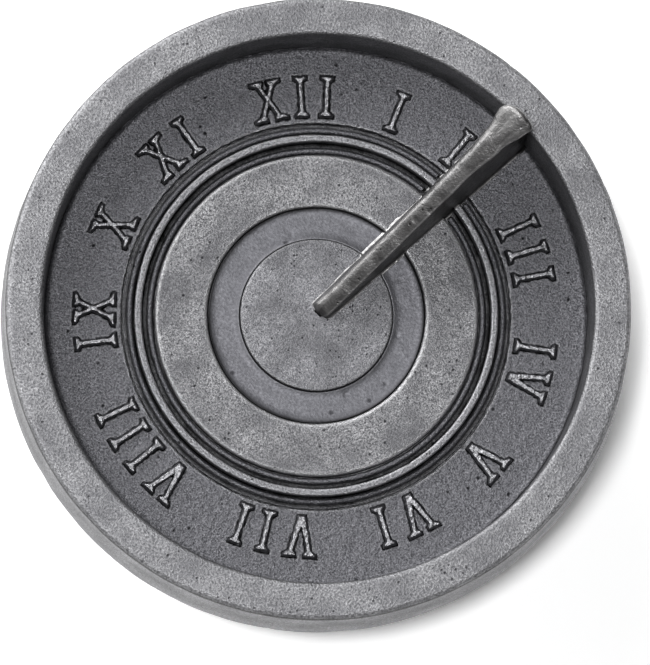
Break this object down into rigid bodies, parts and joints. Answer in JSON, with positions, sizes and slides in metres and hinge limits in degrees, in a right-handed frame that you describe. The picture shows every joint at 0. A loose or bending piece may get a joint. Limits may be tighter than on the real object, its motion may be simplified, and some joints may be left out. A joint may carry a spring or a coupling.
{
  "type": "sundial charm",
  "caption": "Small round sundial charm: shallow antiqued metal dish with roman hour ring, ring moulding, stepped centre and sloping gnomon, on a soft push-in stud.",
  "frame": {"origin": "centre of the flat end of the stud, on the dial's axis, which is the lowest point of the object", "axes": "+Z is the dial's axis, from the stud to the dial; +Y is the top of the dial, beside the twelfth hour"},
  "size_m": [0.025, 0.025, 0.0151],
  "materials": {
    "dish_metal": "cast and tumbled, antiqued",
    "dark_metal": "cast and blackened",
    "moulding_metal": "blackened, with rubbed tops",
    "plate_metal": "tumbled, antiqued",
    "gnomon_metal": "tumbled, with a rubbed top",
    "numeral_metal": "blackened, with rubbed tops",
    "pin_steel": "plain turned",
    "stud_rubber": "satin moulded"
  },
  "bodies": {
    "root": {"dish": "dish_metal", "hour_ring": "dark_metal", "moulding_ring": "moulding_metal", "inner_bead": "moulding_metal", "outer_bead": "moulding_metal", "middle_plate": "plate_metal", "hub_plate": "plate_metal", "centre_disc": "plate_metal", "gnomon": "gnomon_metal", "numeral_1": "numeral_metal", "numeral_2": "numeral_metal", "numeral_3": "numeral_metal", "numeral_4": "numeral_metal", "numeral_5": "numeral_metal", "numeral_6": "numeral_metal", "numeral_7": "numeral_metal", "numeral_8": "numeral_metal", "numeral_9": "numeral_metal", "numeral_10": "numeral_metal", "numeral_11": "numeral_metal", "numeral_12": "numeral_metal", "stud_pin": "pin_steel", "stud": "stud_rubber"}
  },
  "joints": []
}
